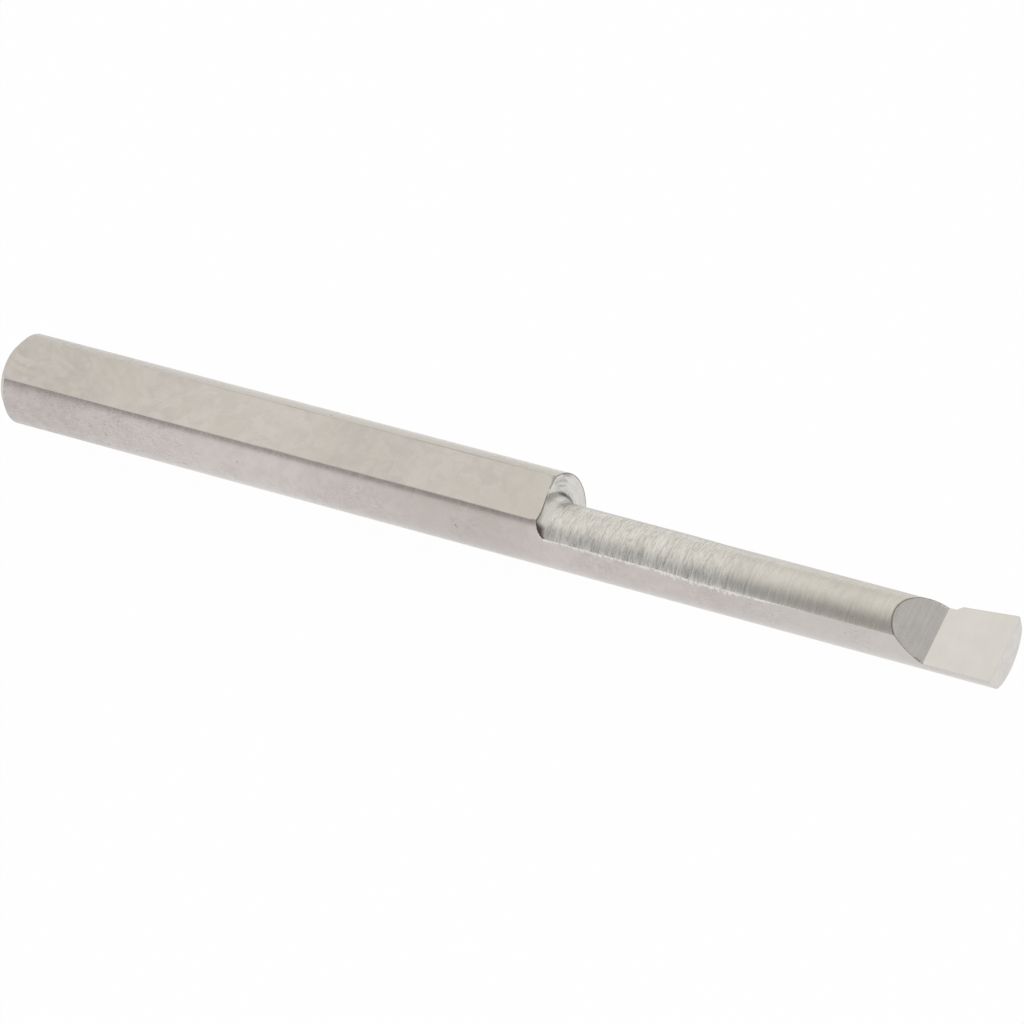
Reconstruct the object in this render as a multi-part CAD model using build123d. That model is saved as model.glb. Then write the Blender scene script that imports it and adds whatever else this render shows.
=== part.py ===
"""One-piece right-hand boring bar, ground from a round rod of solid carbide.

Millimetres and degrees. X runs along the shank's axis from the back end to the
tip, Z is square to the rake face and to the flat on the shank, and Y points to
the side that the cutting point is on. The origin is the centre of the back end.

The bar is made the way it is ground. A round rod has a chamfered back end and a
flat along it. A wheel grinds the neck about an axis beside the rod's own, so one
side of the rod's round is left standing all the way to the tip. The head is then
relieved below its edges, and a gash leaves the rake face with a ramp behind it.
"""

import os
from math import cos, radians, sin, tan

from build123d import *

# The rod that the bar is ground from
SHANK_DIAMETER = 3.175
OVERALL_LENGTH = 38.10
BACK_CHAMFER = 0.33
FLAT_DEPTH = 0.265

# The neck, a smaller round about an axis beside the shank's own
REACH = 16.55
NECK_DIAMETER = 2.30
NECK_OFFSET = 0.5875
SHOULDER_FILLET = 0.43

# The stretch of neck beside the shoulder, left a little thicker
ROOT_DIAMETER = 2.34
ROOT_LENGTH = 4.90
ROOT_TAPER_LENGTH = 1.40

# The head, seen from above the rake face
NOSE_REACH = 0.916
NOSE_RADIUS = 0.12
HEAD_LENGTH = 2.15
HEAD_STEP_ANGLE = 41.0
BACK_TAPER = 5.8
FRONT_EDGE_ANGLE = 0.7

# The head's clearances below its cutting edges
FRONT_CLEARANCE = 5.0
SIDE_CLEARANCE = 4.7
RELIEF_RADIUS = 1.34

# The gash that makes the rake face
RAKE_LENGTH = 2.40
RAKE_HEIGHT = 0.0
RAMP_ANGLE = 45.0

# How far what is ground away reaches past the rod
CLEAR = 1.0

SHANK_RADIUS = SHANK_DIAMETER / 2
NECK_RADIUS = NECK_DIAMETER / 2
ROOT_RADIUS = ROOT_DIAMETER / 2
SHOULDER_X = OVERALL_LENGTH - REACH
HEAD_X = OVERALL_LENGTH - HEAD_LENGTH
FLAT_HEIGHT = SHANK_RADIUS - FLAT_DEPTH
WIDE = SHANK_RADIUS + NECK_OFFSET + CLEAR


def slope(angle: float) -> float:
    """Return the rise over the run of an angle in degrees."""
    return tan(radians(angle))


def rod() -> Part:
    """Return the round rod, with its back end chamfered and its flat ground."""
    outline = Polyline(
        (0, 0),
        (0, SHANK_RADIUS - BACK_CHAMFER),
        (BACK_CHAMFER, SHANK_RADIUS),
        (OVERALL_LENGTH, SHANK_RADIUS),
        (OVERALL_LENGTH, 0),
        close=True,
    )
    flat_waste = Box(
        OVERALL_LENGTH + 2 * CLEAR,
        2 * WIDE,
        FLAT_DEPTH + CLEAR,
        align=(Align.MIN, Align.CENTER, Align.MIN),
    )
    return revolve(make_face(outline), Axis.X) - Pos(-CLEAR, 0, FLAT_HEIGHT) * flat_waste


def wheel_path() -> Part:
    """Return the round that the wheel leaves as it grinds the neck.

    It clears the shank, turns in at the shoulder through the root fillet, runs along
    the thicker root and the neck, and widens as a cone behind the head.
    """
    root_end = SHOULDER_X + ROOT_LENGTH
    head_run = (WIDE - NECK_RADIUS) / slope(HEAD_STEP_ANGLE)
    sharp = make_face(
        Polyline(
            (-CLEAR, 0),
            (-CLEAR, WIDE),
            (SHOULDER_X, WIDE),
            (SHOULDER_X, ROOT_RADIUS),
            (root_end, ROOT_RADIUS),
            (root_end + ROOT_TAPER_LENGTH, NECK_RADIUS),
            (HEAD_X, NECK_RADIUS),
            (HEAD_X + head_run, WIDE),
            (OVERALL_LENGTH + head_run, WIDE),
            (OVERALL_LENGTH + head_run, 0),
            close=True,
        )
    )
    root_corner = sharp.vertices().sort_by_distance((SHOULDER_X, ROOT_RADIUS, 0))[0]
    outline = fillet(root_corner, SHOULDER_FILLET)
    return Pos(0, -NECK_OFFSET, 0) * revolve(outline, Axis.X)


def relief_round() -> Part:
    """Return the round that the head's side is relieved to.

    It lies along the tapered side edge and leaves it at the side clearance.
    """
    across = RELIEF_RADIUS * cos(radians(SIDE_CLEARANCE))
    up = RELIEF_RADIUS * sin(radians(SIDE_CLEARANCE))
    along = Rot(0, 90, 0) * Cylinder(RELIEF_RADIUS, 4 * (HEAD_LENGTH + WIDE))
    return Pos(OVERALL_LENGTH, NOSE_REACH, 0) * Rot(0, 0, BACK_TAPER) * Pos(0, -across, up) * along


def plan_form() -> Part:
    """Return the head's plan, round at the nose, swept down at both clearances."""
    back = HEAD_LENGTH + 2 * CLEAR
    across = 2 * WIDE
    sharp = make_face(
        Polyline(
            (OVERALL_LENGTH, NOSE_REACH),
            (OVERALL_LENGTH - back, NOSE_REACH - back * slope(BACK_TAPER)),
            (OVERALL_LENGTH - back, NOSE_REACH - across),
            (OVERALL_LENGTH - across * slope(FRONT_EDGE_ANGLE), NOSE_REACH - across),
            close=True,
        )
    )
    nose_corner = sharp.vertices().sort_by_distance((OVERALL_LENGTH, NOSE_REACH, 0))[0]
    plan = Pos(0, 0, RAKE_HEIGHT) * fillet(nose_corner, NOSE_RADIUS)
    lean = Vector(-slope(FRONT_CLEARANCE), -slope(SIDE_CLEARANCE), -1)
    return extrude(plan, amount=across * lean.length, dir=lean)


def head_waste() -> Part:
    """Return what is ground off the head's side and front."""
    block = Box(
        HEAD_LENGTH + CLEAR,
        4 * WIDE,
        2 * WIDE,
        align=(Align.MIN, Align.CENTER, Align.MAX),
    )
    below_rake = Pos(HEAD_X, 0, RAKE_HEIGHT) * block
    return below_rake - (relief_round() & plan_form())


def gash_waste() -> Part:
    """Return what the gash takes off above the rake face and over the ramp."""
    rise = SHANK_RADIUS - RAKE_HEIGHT + CLEAR
    foot = OVERALL_LENGTH - RAKE_LENGTH
    end = OVERALL_LENGTH + CLEAR
    side = make_face(
        Polyline(
            (foot, 0, RAKE_HEIGHT),
            (end, 0, RAKE_HEIGHT),
            (end, 0, RAKE_HEIGHT + rise),
            (foot - rise / slope(RAMP_ANGLE), 0, RAKE_HEIGHT + rise),
            close=True,
        )
    )
    return extrude(side, amount=WIDE, dir=(0, 1, 0), both=True)


def boring_bar() -> Part:
    """Return the finished bar as one solid."""
    ground = rod() & wheel_path()
    return ground - gash_waste() - head_waste()


def main() -> None:
    """Write the bar's solid to its STEP file."""
    os.makedirs("parts", exist_ok=True)
    bar = boring_bar()
    bar.label = "boring_bar"
    export_step(bar, "parts/boring_bar.step")


if __name__ == "__main__":
    main()
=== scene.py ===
"""Dresses the solid-carbide boring bar and sets it on a white table in soft light.

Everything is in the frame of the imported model: X runs from the back end of the
shank to the tip, Z is square to the rake face and to the flat, and Y points to the
side of the cutting point. Sizes of the bar are written in millimetres and are
turned into metres as its mesh is made.
"""

import logging
from dataclasses import dataclass, field
from enum import Enum, IntEnum
from functools import reduce
from typing import NamedTuple

import bpy
import numpy as np
from mathutils import Matrix, Quaternion


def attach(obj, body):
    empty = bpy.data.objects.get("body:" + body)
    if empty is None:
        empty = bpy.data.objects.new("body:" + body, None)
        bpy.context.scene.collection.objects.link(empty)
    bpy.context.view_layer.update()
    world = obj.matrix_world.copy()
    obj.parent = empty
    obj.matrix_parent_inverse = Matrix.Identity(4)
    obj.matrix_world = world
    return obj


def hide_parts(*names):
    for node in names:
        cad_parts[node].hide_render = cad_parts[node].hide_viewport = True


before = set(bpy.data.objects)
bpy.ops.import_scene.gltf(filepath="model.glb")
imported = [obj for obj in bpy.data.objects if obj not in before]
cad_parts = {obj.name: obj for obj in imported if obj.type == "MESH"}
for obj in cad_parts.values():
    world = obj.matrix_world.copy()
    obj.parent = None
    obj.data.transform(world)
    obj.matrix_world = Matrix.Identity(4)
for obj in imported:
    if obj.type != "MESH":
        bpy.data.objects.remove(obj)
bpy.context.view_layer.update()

MM = 0.001
FAR = 1.0e3
TINY = 1e-9
LEVEL = 1e-4

Socket = bpy.types.NodeSocket
Node = bpy.types.Node
Tree = bpy.types.NodeTree
Tone = tuple[float, float, float]
Span = tuple[float, float]
Array = np.ndarray

log = logging.getLogger("boring_bar")


class Ground(IntEnum):
    """The surfaces that grinding leaves on the bar."""

    CHAMFER = 0
    SHANK = 1
    FLAT = 2
    NECK = 3
    CONE = 4
    RAMP = 5
    RAKE = 6
    RELIEF = 7
    NOSE = 8
    FRONT = 9
    BACK = 10
    SHOULDER = 11
    FILLET = 12


def tangent(angle: float) -> float:
    """Return the rise over the run of an angle in degrees."""
    return float(np.tan(np.radians(angle)))


def smooth_step(low: float, high: float, values: Array) -> Array:
    """Ease from 0 at low to 1 at high, level at both ends.

    Args:
        low: The value at which the result is 0.
        high: The value at which the result is 1.
        values: The values to ease.

    Returns:
        Three times the square less twice the cube of the share of the way.
    """
    share = np.clip((values - low) / (high - low), 0.0, 1.0)
    return share * share * (3.0 - 2.0 * share)


def ripple(points: Array, pitch: float, seed: int) -> Array:
    """Return an uneven wave along a line, the same at every run.

    The wave is a sum of five sines whose pitches spread about the one asked for,
    each with its own turn, divided by the sum of their heights.

    Args:
        points: Places along the line, in millimetres.
        pitch: The middle pitch of the wave, in millimetres.
        seed: Picks the turns of the sines.

    Returns:
        Heights between -1 and 1, one for each place.
    """
    rng = np.random.default_rng(seed)
    pitches = pitch * np.array([0.53, 0.79, 1.0, 1.47, 2.6])
    heights = np.array([0.6, 0.8, 1.0, 0.9, 0.7])
    turns = rng.uniform(0.0, 2.0 * np.pi, 5)
    waves = np.sin(2.0 * np.pi * points[..., None] / pitches + turns)
    return (waves * heights).sum(-1) / heights.sum()


class Rays(NamedTuple):
    """Directions out from the core line.

    Attributes:
        place: Where along the bar each one is, in millimetres.
        lean: 0 for one square to the bar, 1 for one that leans with the front face.
        turn: Its angle about the core line, in radians.
    """

    place: Array
    lean: Array
    turn: Array

    def rows(self, rows: Array | slice) -> "Rays":
        """Return some rows of the rays."""
        return Rays(*(part[rows] for part in self))


@dataclass
class BarForm:
    """The bar's own form, as how far its skin lies from a core line.

    The core line runs along X inside every section of the bar. The rod, the flat,
    the wheel's path, the gash, the relief round and the plan of the head each set
    a reach from that line in every direction, and the skin is the least of them.
    """

    shank_radius: float = 1.5875
    overall_length: float = 38.10
    back_chamfer: float = 0.33
    flat_height: float = 1.3225
    reach: float = 16.55
    neck_radius: float = 1.15
    neck_offset: float = 0.5875
    shoulder_fillet: float = 0.43
    shoulder_lean: float = 0.085
    lean_height: float = 0.40
    root_radius: float = 1.17
    root_length: float = 4.90
    root_taper_length: float = 1.40
    nose_reach: float = 0.916
    nose_radius: float = 0.12
    head_length: float = 2.15
    head_step_angle: float = 41.0
    back_taper: float = 5.8
    front_edge_angle: float = 0.7
    front_clearance: float = 5.0
    side_clearance: float = 4.7
    relief_radius: float = 1.34
    rake_length: float = 2.40
    core: Span = (-0.476, -0.476)
    first_reach: float = 0.9
    lean_rounds: int = 6
    lean_rise: Span = (-1.5, -0.2)
    lean_fall: Span = (0.7, 2.0)
    relief_top: float = 0.5
    nose_side: float = 0.15

    @property
    def shoulder(self) -> float:
        """Where the shank ends and the neck begins."""
        return self.overall_length - self.reach

    @property
    def head(self) -> float:
        """Where the head begins."""
        return self.overall_length - self.head_length

    @property
    def foot(self) -> float:
        """Where the ramp meets the rake face."""
        return self.overall_length - self.rake_length

    @property
    def nose_start(self) -> float:
        """Where along the bar the nose's round leaves the side edge."""
        return self.nose_arc()[0] + self.nose_radius * np.sin(-np.radians(self.back_taper))

    def lean_back(self, points: Array) -> Array:
        """Return how far the shoulder's lean moves each point along X.

        The move is the lean's slope times the height below lean_height, times a
        window that is 1 beside the shoulder and 0 two millimetres away, so little
        but the shoulder's face and its fillet changes.
        """
        x, z = points[..., 0], points[..., 2]
        rise, fall = (
            smooth_step(self.shoulder + low, self.shoulder + high, x)
            for low, high in (self.lean_rise, self.lean_fall)
        )
        return self.shoulder_lean * (self.lean_height - z) * (rise * (1.0 - fall))

    def nose_arc(self) -> Span:
        """Return the centre of the nose's round, in plan.

        It lies one nose radius inside both the side edge and the front edge.
        """
        side = np.radians(self.back_taper)
        edge = tangent(self.front_edge_angle)
        inward = 1.0 / np.cos(np.radians(self.front_edge_angle))
        a = np.array([[-np.sin(side), np.cos(side)], [1.0, -edge]])
        corner = np.array([self.overall_length, self.nose_reach])
        b = a @ corner - self.nose_radius * np.array([1.0, inward])
        x, y = np.linalg.solve(a, b)
        return float(x), float(y)

    def round_reach(self, turn: Array, y: float, z: float, radius: Array) -> Array:
        """Return how far a circle lies from the core line in each direction.

        Along a direction, the point at distance r is on the circle where
        r squared plus twice r times b plus c is nothing, with b the core's place
        from the circle's centre along the direction, and c that place's square
        less the square of the radius.
        """
        dy, dz = self.core[0] - y, self.core[1] - z
        b = dy * np.cos(turn) + dz * np.sin(turn)
        c = dy * dy + dz * dz - radius * radius
        return -b + np.sqrt(np.maximum(b * b - c, 0.0))

    def wheel_radius(self, x: Array) -> Array:
        """Return the radius that the wheel leaves about the neck's axis.

        It falls round the fillet as a quarter circle, holds along the thicker root,
        eases to the neck, and widens at the step angle behind the head.
        """
        run = self.shoulder + self.shoulder_fillet
        back = np.clip(run - x, 0.0, self.shoulder_fillet)
        fillet = self.shoulder_fillet - np.sqrt(self.shoulder_fillet**2 - back**2)
        ease = np.clip((x - self.shoulder - self.root_length) / self.root_taper_length, 0.0, 1.0)
        root = self.root_radius + (self.neck_radius - self.root_radius) * ease
        step = np.maximum(x - self.head, 0.0) * tangent(self.head_step_angle)
        return root + fillet + step

    def relief_reach(self, x: Array, turn: Array) -> Array:
        """Return how far the head's relief round lies from the core line.

        The round lies along the tapered side edge, so across the bar its section
        is squeezed by the taper's cosine, and the same equation is solved as for a
        circle, with the square of the direction's squeezed length before r squared.
        """
        taper, side = np.radians(self.back_taper), np.radians(self.side_clearance)
        inset, lift = self.relief_radius * np.cos(side), self.relief_radius * np.sin(side)
        across = np.cos(turn) * np.cos(taper)
        along = x - self.overall_length - inset * np.sin(taper)
        middle = self.core[0] - self.nose_reach + inset * np.cos(taper)
        y = -along * np.sin(taper) + middle * np.cos(taper)
        z = self.core[1] - lift
        a = across**2 + np.sin(turn) ** 2
        b = y * np.cos(turn) * np.cos(taper) + z * np.sin(turn)
        c = y * y + z * z - self.relief_radius**2
        return (-b + np.sqrt(np.maximum(b * b - a * c, 0.0))) / a

    def nose_limit(self, forward: Array) -> Array:
        """Return how far out the nose's round lets the rake face go at each place."""
        centre_x, centre_y = self.nose_arc()
        across = np.maximum(self.nose_radius**2 - (forward - centre_x) ** 2, 0.0)
        return centre_y + np.sqrt(across)

    def sweep_back(self, y: Array, z: Array) -> Array:
        """Return how far the front face falls back at a place, from the tip.

        It falls back by the front edge's angle across the bar and by the front
        clearance below the rake face.
        """
        down = np.maximum(-z, 0.0)
        across = self.nose_reach - y - down * tangent(self.side_clearance)
        return across * tangent(self.front_edge_angle) + down * tangent(self.front_clearance)

    def at(self, rays: Rays, reach: Array) -> Array:
        """Return the points at a reach along some rays.

        Their X is less by the lean's share of the front face's fall there.
        """
        y = self.core[0] + reach * np.cos(rays.turn)
        z = self.core[1] + reach * np.sin(rays.turn)
        return np.stack([rays.place - rays.lean * self.sweep_back(y, z), y, z], -1)

    def reaches(self, rays: Rays, wheeled: bool) -> Array:
        """Return the reach that each grinding operation leaves.

        A leaning ray's X depends on its reach, so it is worked out a few times over.

        Args:
            rays: The directions.
            wheeled: Whether the neck has been ground there.

        Returns:
            One layer for each of Ground's first nine surfaces, FAR where it does
            not bound the bar.
        """
        rays = Rays(*np.broadcast_arrays(*rays))
        turn = rays.turn
        sine, cosine = np.sin(turn), np.cos(turn)
        above = np.where(sine > LEVEL, 1.0 / np.maximum(sine, LEVEL), FAR)
        slant = cosine - sine * tangent(self.side_clearance)
        reach = np.full(turn.shape, self.first_reach)
        layers = np.full((int(Ground.FRONT),) + turn.shape, FAR)
        for _ in range(self.lean_rounds if np.any(rays.lean > 0) else 1):
            x, _, z = np.moveaxis(self.at(rays, reach), -1, 0)
            chamfer = self.shank_radius - self.back_chamfer + np.maximum(x, 0.0)
            chamfer = self.round_reach(turn, 0.0, 0.0, chamfer)
            layers[Ground.CHAMFER] = np.where(x < self.back_chamfer, chamfer, FAR)
            rod = np.full(turn.shape, self.shank_radius)
            layers[Ground.SHANK] = self.round_reach(turn, 0.0, 0.0, rod)
            layers[Ground.FLAT] = (self.flat_height - self.core[1]) * above
            if wheeled:
                wheel = self.round_reach(turn, -self.neck_offset, 0.0, self.wheel_radius(x))
                layers[Ground.NECK] = np.where(x <= self.head, wheel, FAR)
                layers[Ground.CONE] = np.where(x > self.head, wheel, FAR)
            rise = self.foot - x
            ramp = (np.maximum(rise, 0.0) - self.core[1]) * above
            layers[Ground.RAMP] = np.where(rise > TINY, ramp, FAR)
            layers[Ground.RAKE] = np.where(rise <= TINY, -self.core[1] * above, FAR)
            sided = (x > self.head) & (sine < self.relief_top)
            layers[Ground.RELIEF] = np.where(sided, self.relief_reach(x, turn), FAR)
            forward = x + np.maximum(-z, 0.0) * tangent(self.front_clearance)
            nose = self.nose_limit(forward) - self.core[0]
            nose = (nose + self.core[1] * tangent(self.side_clearance)) / np.maximum(slant, LEVEL)
            in_nose = (forward > self.nose_start) & (slant > self.nose_side)
            layers[Ground.NOSE] = np.where(in_nose, nose, FAR)
            reach = layers.min(0)
        return layers

    def reaches_along(self, rays: Rays, wheeled: Array) -> Array:
        """Return the reaches of rows on the shank and then of rows on the neck.

        Args:
            rays: The directions, in rows from the back end on.
            wheeled: Which rows have been ground to the neck.

        Returns:
            The layers that reaches returns, with the rows in the order given.
        """
        halves = ((~wheeled, False), (wheeled, True))
        return np.concatenate([self.reaches(rays.rows(r), ground) for r, ground in halves], 1)

    def crossing(self, radius: Array) -> tuple[Array, Array]:
        """Return where the wheel's round meets the shank's, as Y and as height.

        The two circles cross where the Y from the rod's axis is the difference of
        the squares of their radii plus the square of the offset, over twice the
        offset.
        """
        y = self.shank_radius**2 - radius**2 + self.neck_offset**2
        y = np.clip(-y / (2.0 * self.neck_offset), -self.shank_radius, self.shank_radius)
        return y, np.sqrt(self.shank_radius**2 - y**2)


@dataclass
class Burr:
    """The rough lip that the wheel smears over the shank beside the neck.

    It lies just outside the line where the neck meets the shank's own round, thick
    and toothed beside the shoulder and fading out along the neck. Bright smears run
    up from it over the neck.
    """

    start: float = 21.58
    end: float = 31.8
    width_at: tuple[float, ...] = (21.58, 24.0, 26.5, 28.6, 30.0, 31.8)
    width_share: tuple[float, ...] = (0.60, 0.80, 1.10, 1.30, 0.65, 0.0)
    width: float = 0.16
    least_width: float = 0.004
    solid: float = 0.55
    height: float = 0.020
    pitch: float = 0.23
    slow_pitch: float = 1.15
    teeth: Tone = (0.62, 0.55, 0.38)
    teeth_limits: Span = (0.12, 1.6)
    crest: Span = (0.55, 0.45)
    crest_slant: float = 0.7
    crest_pitch: float = 0.09
    onset: float = -0.02
    lip_full: float = 0.12
    smear_full: float = 0.25
    smear: float = 0.45
    smear_pitch: float = 0.34
    smear_wave: Span = (0.75, 0.6)
    smear_limits: Span = (0.15, 1.5)
    smear_dims: Span = (27.5, 30.5)
    smear_dim: float = 0.75
    smear_ends: Span = (32.0, 35.0)

    def spread(self, x: Array) -> Array:
        """Return how wide the lip is at each place along the bar.

        The width is a toothed wave on a slower one, times a share that grows from
        the shoulder to the root's end and then falls to nothing.
        """
        fade = np.interp(x, self.width_at, self.width_share)
        fade = fade * smooth_step(self.start + self.onset, self.start + self.lip_full, x)
        level, quick, slow = self.teeth
        teeth = level + quick * ripple(x, self.pitch, 11) + slow * ripple(x, self.slow_pitch, 12)
        return self.width * fade * np.clip(teeth, *self.teeth_limits)

    def mask(self, x: Array, across: Array) -> Array:
        """Return 1 on the lip and 0 clear of it.

        Args:
            x: Places along the bar.
            across: Distances outside the neck's line, over the shank's round.

        Returns:
            A mask that falls away towards the lip's outer edge.
        """
        wide = np.maximum(self.spread(x), TINY)
        inside = 1.0 - smooth_step(self.solid, 1.0, across / wide)
        return np.where((across >= -TINY) & (wide > self.least_width), inside, 0.0)

    def smears(self, x: Array, across: Array) -> Array:
        """Return 1 at the neck's line and less up the neck, where the lip was dragged.

        The reach of the smears is an uneven wave, and they fade with the lip.
        """
        level, wave = self.smear_wave
        tall = level + wave * ripple(x, self.smear_pitch, 21)
        tall = self.smear * np.clip(tall, *self.smear_limits)
        fade = smooth_step(self.start + self.onset, self.start + self.smear_full, x)
        fade = fade * (1.0 - self.smear_dim * smooth_step(*self.smear_dims, x))
        fade = fade * (1.0 - smooth_step(*self.smear_ends, x))
        return np.where(across <= 0.0, fade * (1.0 - smooth_step(0.0, 1.0, -across / tall)), 0.0)

    def rise(self, points: Array, lip: Array) -> Array:
        """Return how high the lip stands over the round at each point."""
        level, wave = self.crest
        along = points[..., 0] + self.crest_slant * points[..., 2]
        return self.height * (lip * (level + wave * ripple(along, self.crest_pitch, 5)))


@dataclass
class Laid:
    """The skin's rings as laid out, before its ends and the shoulder are closed.

    Attributes:
        rays: The rays to the rings' points, a row for each ring.
        layers: The reach that each operation leaves at each point.
        points: The rings' points.
        lip: The burr's mask.
        smear: The mask of the smears that run up from the burr.
        cut: How many of the rings are on the shank. The rest are on the neck.
    """

    rays: Rays
    layers: Array
    points: Array
    lip: Array
    smear: Array
    cut: int


@dataclass
class BarSkin:
    """The bar's skin, as rings and columns of points made into one closed mesh."""

    form: BarForm = field(default_factory=BarForm)
    burr: Burr = field(default_factory=Burr)
    columns: int = 212
    column_shares: tuple[int, ...] = (28, 36, 18, 18, 24, 16, 62)
    burr_turn: float = 6.6
    halvings: int = 26
    cap_steps: int = 6
    shoulder_steps: int = 12
    face_rings: int = 3
    chamfer_rings: int = 15
    shank_rings: int = 50
    fillet_rings: int = 21
    burr_rings: int = 165
    neck_rings: int = 14
    ramp_rings: int = 40
    rake_rings: int = 7
    step_rings: int = 15
    step_length: float = 0.24
    head_rings: int = 20
    nose_rings: int = 15
    lean_run: Span = (0.3, -0.25)
    lip_margin: float = -0.02
    smear_from: float = 0.5 * np.pi - 0.3
    rim_gap: float = 1e-6
    run_out_height: float = 0.9
    run_out_scale: float = 1.3
    gash_span: float = 0.8
    weld_digits: int = 7
    sharp_angle: float = 8.0

    def directions(self) -> Array:
        """Return the columns' angles about the core line, in radians.

        The columns run evenly between the angles of the bar's long edges, so that
        those edges lie on columns, and stand close together over the burr.
        """
        form = self.form
        half = np.sqrt(form.shank_radius**2 - form.flat_height**2)
        near_y, near_z = form.crossing(form.root_radius)
        edges = np.array(
            [
                [form.neck_radius - form.neck_offset, 0.0],
                [half, form.flat_height],
                [-half, form.flat_height],
                [near_y, near_z],
                [-form.shank_radius, 0.0],
                [near_y, -near_z],
            ]
        ) - np.array(form.core)
        marks = np.unwrap(np.arctan2(edges[:, 1], edges[:, 0]))
        burr_end = marks[3] + np.radians(self.burr_turn)
        marks = np.concatenate([marks[:4], [burr_end], marks[4:], [marks[0] + 2.0 * np.pi]])
        shares = np.array(self.column_shares, float)
        counts = np.round(shares * self.columns / shares.sum()).astype(int)
        counts[-1] += self.columns - counts.sum()
        runs = [
            np.linspace(low, high, count, endpoint=False)
            for low, high, count in zip(marks[:-1], marks[1:], counts)
        ]
        return np.concatenate(runs)

    def snap(self, rays: Rays, wheeled: bool) -> Array:
        """Move the nearest column onto each edge that a ring crosses.

        Where two neighbours on a ring lie on different surfaces, the edge between
        is found by halving the gap, and the nearer of the two is moved to it.

        Args:
            rays: The rays to the rings' points, a row for each ring.
            wheeled: Whether the neck has been ground.

        Returns:
            The rays' turns, with the edges on columns.
        """
        place, lean, turn = rays.place[:, 0], rays.lean[:, 0], rays.turn.copy()
        layers = self.form.reaches(rays, wheeled)
        on = layers.argmin(0)
        ring, column = np.nonzero(on != np.roll(on, -1, 1))
        after = (column + 1) % turn.shape[1]
        low = turn[ring, column]
        high = turn[ring, after] + np.where(after == 0, 2.0 * np.pi, 0.0)
        first, second = on[ring, column], on[ring, after]
        pick = np.arange(len(ring))
        a, b = low.copy(), high.copy()
        for _ in range(self.halvings):
            middle = 0.5 * (a + b)
            found = self.form.reaches(Rays(place[ring], lean[ring], middle), wheeled)
            still = found[first, pick] <= found[second, pick]
            a, b = np.where(still, middle, a), np.where(still, b, middle)
        edge = 0.5 * (a + b)
        nearer = np.where(edge - low < high - edge, column, after)
        wrapped = edge - np.where((nearer == 0) & (nearer == after), 2.0 * np.pi, 0.0)
        turn[ring, nearer] = wrapped
        return turn

    def rings(self) -> tuple[Array, Array, int]:
        """Return where the rings stand, how each leans, and how many are on the shank.

        They stand close together where the bar changes: round the chamfer and the
        fillet, over the burr, up the ramp, where their spacing grows with the
        square of their count, through the step and round the nose.
        """
        form = self.form
        flat_start = form.flat_height - (form.shank_radius - form.back_chamfer)
        grow = np.linspace(0.0, 1.0, self.chamfer_rings) ** 2
        shank = np.concatenate(
            [
                np.linspace(0.0, flat_start, self.face_rings, endpoint=False),
                flat_start + (form.back_chamfer - flat_start) * grow,
                np.linspace(form.back_chamfer, form.shoulder, self.shank_rings)[1:],
            ]
        )
        swing = np.linspace(0.0, 0.5 * np.pi, self.fillet_rings)
        fillet = form.shoulder + form.shoulder_fillet * (1.0 - np.cos(swing))
        ramp_top = form.foot - form.neck_radius
        climb = np.linspace(0.0, 1.0, self.ramp_rings) ** 2
        step_end = form.head + self.step_length
        nose = self.nose_rows()
        neck = np.concatenate(
            [
                fillet,
                np.linspace(fillet[-1], self.burr.end, self.burr_rings)[1:],
                np.linspace(self.burr.end, ramp_top, self.neck_rings)[1:-1],
                ramp_top + form.neck_radius * climb,
                np.linspace(form.foot, form.head, self.rake_rings)[1:],
                np.linspace(form.head, step_end, self.step_rings)[1:],
                np.linspace(step_end, nose[0], self.head_rings)[1:-1],
                nose,
            ]
        )
        start, end = self.lean_run
        lean = smooth_step(form.head + start, form.nose_start + end, neck)
        return np.concatenate([shank, neck]), np.append(np.zeros(len(shank)), lean), len(shank)

    def nose_rows(self) -> Array:
        """Return the rings' places round the nose, eased so that the last is the tip."""
        form = self.form
        centre_x, centre_y = form.nose_arc()
        first, last = -np.radians(form.back_taper), 0.5 * np.pi - np.radians(form.front_edge_angle)
        nose = centre_x + form.nose_radius * np.sin(np.linspace(first, last, self.nose_rings))
        fall = (form.nose_reach - centre_y) * tangent(form.front_edge_angle)
        tip = form.overall_length - fall
        share = smooth_step(0.0, 1.0, (nose - nose[0]) / (nose[-1] - nose[0]))
        nose = nose + (form.overall_length - tip) * share
        nose[-1] = form.overall_length
        return nose

    def lay_out(self) -> Laid:
        """Work out the whole skin as rows of points, with the burr raised on it."""
        form = self.form
        place, lean, cut = self.rings()
        turn = np.repeat(self.directions()[None, :], len(place), 0)
        rays = Rays(place[:, None], lean[:, None], turn)
        back, front = slice(None, cut), slice(cut, None)
        turn[back] = self.snap(rays.rows(back), False)
        turn[front] = self.snap(rays.rows(front), True)
        # The rings at the shoulder's rim and at its foot share their columns.
        last = Rays(*(part[cut - 1 : cut] for part in rays[:2]), turn[cut : cut + 1])
        turn[cut - 1] = turn[cut] = self.snap(last, False)[0]
        layers = form.reaches_along(rays, np.arange(len(place)) >= cut)
        reach = layers.min(0)
        points = form.at(rays, reach)

        edge_turn = self.neck_edge(place[cut:])
        outside = (turn[cut:] - edge_turn[:, None]) * reach[cut:]
        lip, smear = np.zeros(turn.shape), np.zeros(turn.shape)
        lip[cut:] = self.burr.mask(place[cut:, None], outside)
        lip *= (turn > edge_turn[0] + self.lip_margin) & (turn < np.pi)
        smear[cut:] = self.burr.smears(place[cut:, None], outside)
        smear *= turn > self.smear_from
        outward = np.stack([np.zeros(turn.shape), np.cos(turn), np.sin(turn)], -1)
        points += self.burr.rise(points, lip)[..., None] * outward
        points[..., 2] = np.minimum(points[..., 2], form.flat_height)
        return Laid(rays, layers, points, lip, smear, cut)

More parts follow.
